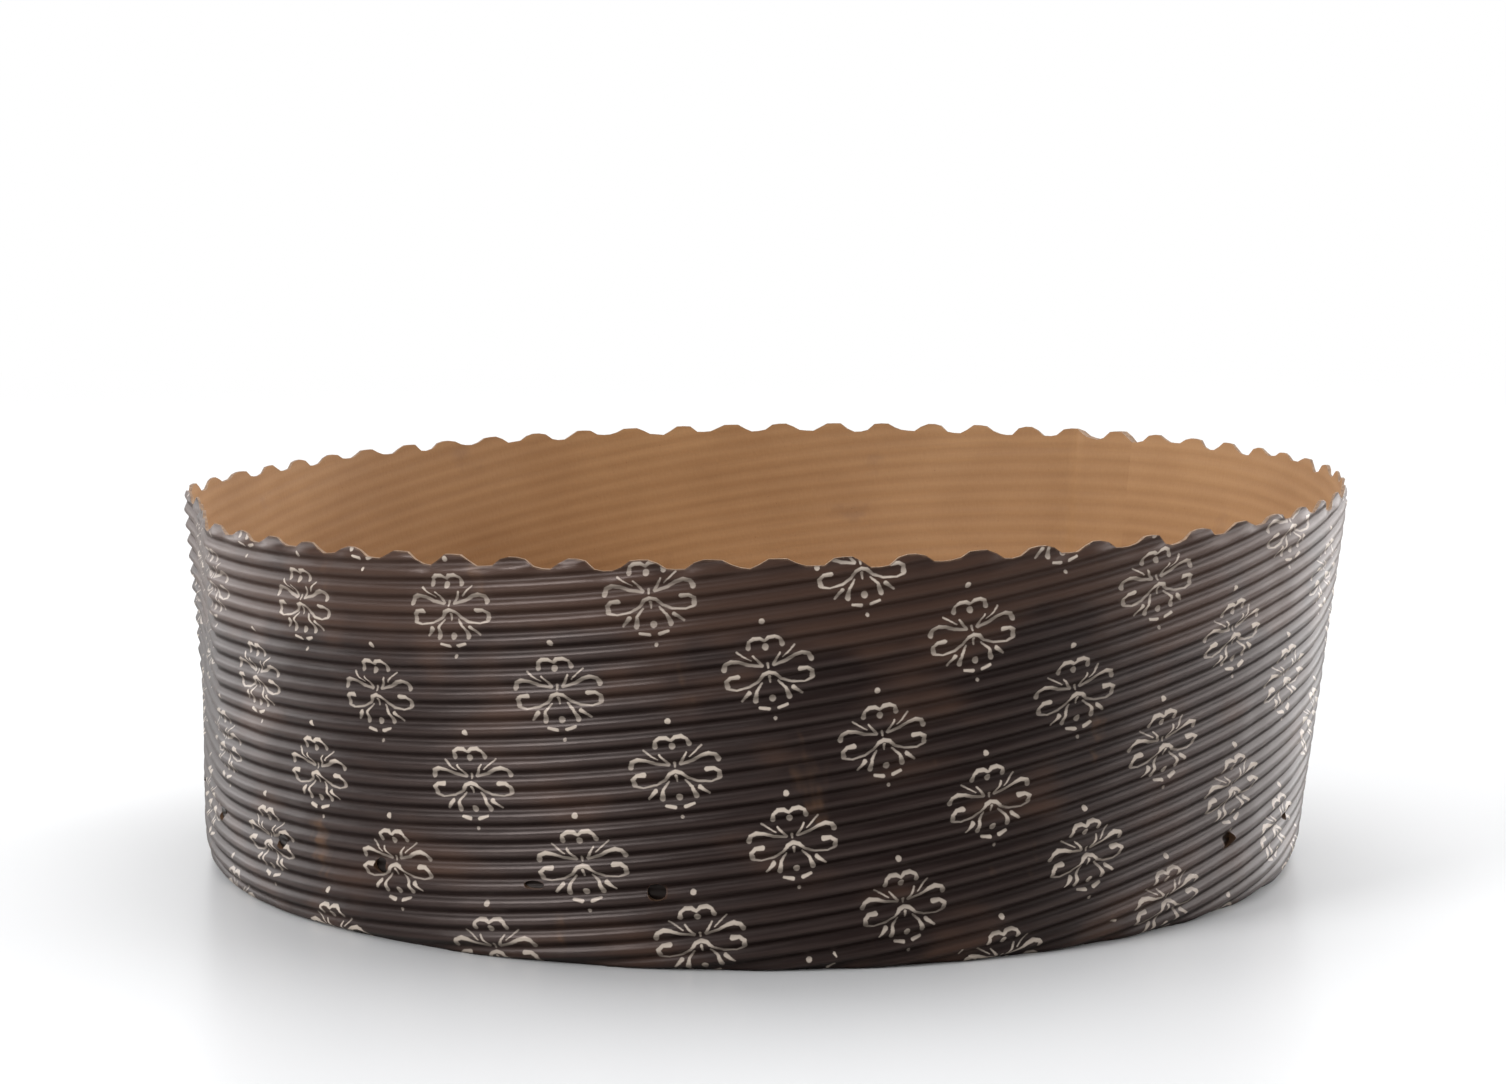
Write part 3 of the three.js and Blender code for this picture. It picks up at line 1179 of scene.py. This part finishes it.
@dataclass
class BaseDisc:
    """The base: a disc of plain board, flutes down, that lies on the tabs."""

    board: Board
    paints: Mapping[Face, Material]
    radius: float = 101.4
    underside: float = 1.6
    rows: int = 12
    sag: float = 0.5
    sag_size: float = 60.0

    def build(self) -> Solid:
        """Builds the disc.

        Returns:
            The disc.
        """
        recipe = Recipe("base_board", {
            "Radius": self.radius,
            "Underside": self.underside,
            **self.board.sizes(),
        })
        columns = round(2.0 * self.radius / self.board.flute_pitch * self.board.rows_per_flute)
        around = 2 * self.rows + 2
        mesh, column, row = recipe.grid(columns, around)
        rows = float(self.rows)
        radius, thick = recipe.size("Radius"), recipe.size("Board thickness")
        side = (column / float(columns) * 2.0 - 1.0) * radius
        reach = (radius * radius - side * side).most(0.0).root()
        first = row.under(rows + 0.5)
        under = first.most(row.over(2.0 * rows + 1.5))
        forth = (row / rows).held() * 2.0 - 1.0
        back = 1.0 - ((row - rows - 1.0) / rows).held() * 2.0
        front = (forth * first + back * (1.0 - first)) * reach
        phase = side / recipe.size("Flute pitch") * FULL_TURN
        groove = (0.5 - phase.cosine() * 0.5) * recipe.size("Flute depth")
        place = recipe.join(side / self.sag_size, front / self.sag_size)
        sag = (recipe.noise(place, 1.0, 1.0, 0.4) - 0.5) * self.sag
        height = recipe.size("Underside") + groove * under + (thick + sag) * (1.0 - under)
        rims = row.over(rows) * row.under(rows + 1.0) + row.over(2.0 * rows + 1.0)
        mesh = recipe.paint(mesh, self.paints[Face.LINER])
        mesh = recipe.paint(mesh, self.paints[Face.CUT], rims)
        mesh = recipe.lay(mesh, front, side)
        disc = recipe.move(mesh, side, front, height)
        return recipe.bake("base_board", recipe.close(disc, 50.0))


@dataclass(frozen=True)
class SoftBox:
    """A lamp that faces the mold: its place and size in metres, and its power in watts."""

    name: str
    place: tuple[float, float, float]
    size: tuple[float, float]
    power: float

    def hang(self, aim_height: float) -> None:
        """Hangs the lamp.

        Args:
            aim_height: The height that it faces, in millimetres.
        """
        data = bpy.data.lights.new(self.name, "AREA")
        data.shape = "RECTANGLE"
        data.size, data.size_y = self.size
        data.energy = self.power
        lamp = put(self.name, data)
        lamp.location = self.place
        aim = Vector((0.0, 0.0, aim_height * MM)) - Vector(self.place)
        lamp.rotation_euler = aim.to_track_quat("-Z", "Y").to_euler()


@dataclass(frozen=True)
class Studio:
    """The pale floor, the soft lights and the camera."""

    distance: float = 700.0
    elevation: float = 9.44
    pitch: float = 7.55
    aim_height: float = 35.0
    camera_x: float = 0.38
    lens: float = 86.97
    floor_size: float = 6.0
    floor_colour: Colour = (0.735, 0.74, 0.75, 1.0)
    floor_bounce: Colour = (0.3, 0.29, 0.28, 1.0)
    white_near: float = 0.35
    white_far: float = 1.1
    floor_roughness: float = 0.3
    room_light: float = 0.5
    gloss_in_front: float = 0.05
    boxes: tuple[SoftBox, ...] = (
        SoftBox("left_box", (-1.1, -0.95, 0.75), (0.55, 0.8), 17.0),
        SoftBox("top_box", (0.1, 0.45, 1.3), (1.2, 1.2), 13.0),
        SoftBox("right_box", (1.15, 0.85, 0.45), (0.9, 0.9), 11.0),
        SoftBox("right_fill", (1.35, -0.1, 0.45), (0.9, 0.8), 8.0),
        SoftBox("back_left_box", (-1.15, 0.7, 0.45), (0.7, 0.9), 6.0),
    )

    def camera(self) -> None:
        """Places the camera at the photograph's angle."""
        data = bpy.data.cameras.new("camera")
        data.sensor_fit = "HORIZONTAL"
        data.sensor_width = 36.0
        data.lens = self.lens
        rise = math.radians(self.elevation)
        camera = put("camera", data)
        camera.location = Vector((
            self.camera_x,
            -self.distance * math.cos(rise),
            self.aim_height + self.distance * math.sin(rise),
        )) * MM
        camera.rotation_euler = Euler((math.radians(90.0 - self.pitch), 0.0, 0.0))
        bpy.context.scene.camera = camera

    def world(self) -> None:
        """Lights the room softly, and shows white behind the mold and in its gloss."""
        world = bpy.data.worlds.new("soft_room")
        world.use_nodes = True
        world.node_tree.nodes.clear()
        graph = Graph(world.node_tree)
        path = graph.add("ShaderNodeLightPath")
        seen = graph.number(path.outputs["Is Camera Ray"])
        through = graph.number(path.outputs["Is Transmission Ray"])
        shine = graph.number(path.outputs["Is Glossy Ray"])
        _, behind, _ = graph.split(graph.add("ShaderNodeTexCoord").outputs["Generated"])
        room = self.gloss_in_front + behind.rise(-0.2, 0.6) * (1.0 - self.gloss_in_front)
        clear = seen.most(through)
        strength = clear + (1.0 - clear) * (shine * room + (1.0 - shine) * self.room_light)
        light = graph.add("ShaderNodeBackground", inputs={0: (1.0, 1.0, 1.0, 1.0), 1: strength})
        graph.add("ShaderNodeOutputWorld", inputs={0: light.outputs[0]})
        bpy.context.scene.world = world

    def floor(self) -> None:
        """Lays the floor, which turns plain white away from the mold."""
        mesh = bpy.data.meshes.new("floor")
        half = self.floor_size / 2.0
        corners = [(-half, -half, 0.0), (half, -half, 0.0), (half, half, 0.0), (-half, half, 0.0)]
        mesh.from_pydata(corners, [], [(0, 1, 2, 3)])
        graph, material, body = shader("floor")
        x, y, _ = graph.split(graph.add("ShaderNodeTexCoord").outputs["Object"])
        far = (x * x + y * y).root().rise(self.white_near, self.white_far)
        seen = graph.number(graph.add("ShaderNodeLightPath").outputs["Is Camera Ray"])
        pale = graph.blend(seen, self.floor_bounce, self.floor_colour)
        graph.feed(body, {"Base Color": pale, "Roughness": self.floor_roughness})
        white = graph.add("ShaderNodeEmission", inputs={0: (1.0, 1.0, 1.0, 1.0), 1: 1.0})
        mix = graph.add("ShaderNodeMixShader", inputs={
            0: far * seen, 1: body.outputs[0], 2: white.outputs[0],
        })
        output = next(node for node in graph.tree.nodes if node.type == "OUTPUT_MATERIAL")
        graph.feed(output, {0: mix.outputs[0]})
        mesh.materials.append(material)
        put("floor", mesh)

    def build(self) -> None:
        """Sets up the whole studio."""
        bpy.context.scene.view_settings.view_transform = "Standard"
        self.camera()
        self.world()
        self.floor()
        for box in self.boxes:
            box.hang(self.aim_height)


def stand_for(piece: Solid, part: Part) -> None:
    """Ties a piece to the solid model.

    Args:
        piece: The piece.
        part: The solid part whose place it takes.
    """
    node, slot = part.value
    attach(piece, "root")
    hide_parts(node)
    LOG.info("%s: %d faces, stands for %s", piece.name, len(piece.data.polygons), node)


def main() -> None:
    """Builds the mold and the studio around it."""
    logging.basicConfig(level=logging.INFO, format="%(message)s")
    board, sheet = Board(), Sheet()
    paints = {
        Face.PRINT: PrintedPaper(board).material(),
        Face.LINER: GoldenLiner(board.flute_pitch).material(),
        Face.CUT: CutEdge().material(),
    }
    Studio().build()
    wall = WallSheet(board, sheet, paints)
    ring = wall.build()
    vents = Vents(wall, paints)
    vents.punch(ring)
    stand_for(ring, Part.WALL)
    stand_for(vents.flaps(), Part.WALL)
    stand_for(FoldTabs(board, sheet, paints).build(), Part.WALL)
    stand_for(BaseDisc(board, paints).build(), Part.BASE)


if __name__ == "__main__":
    main()
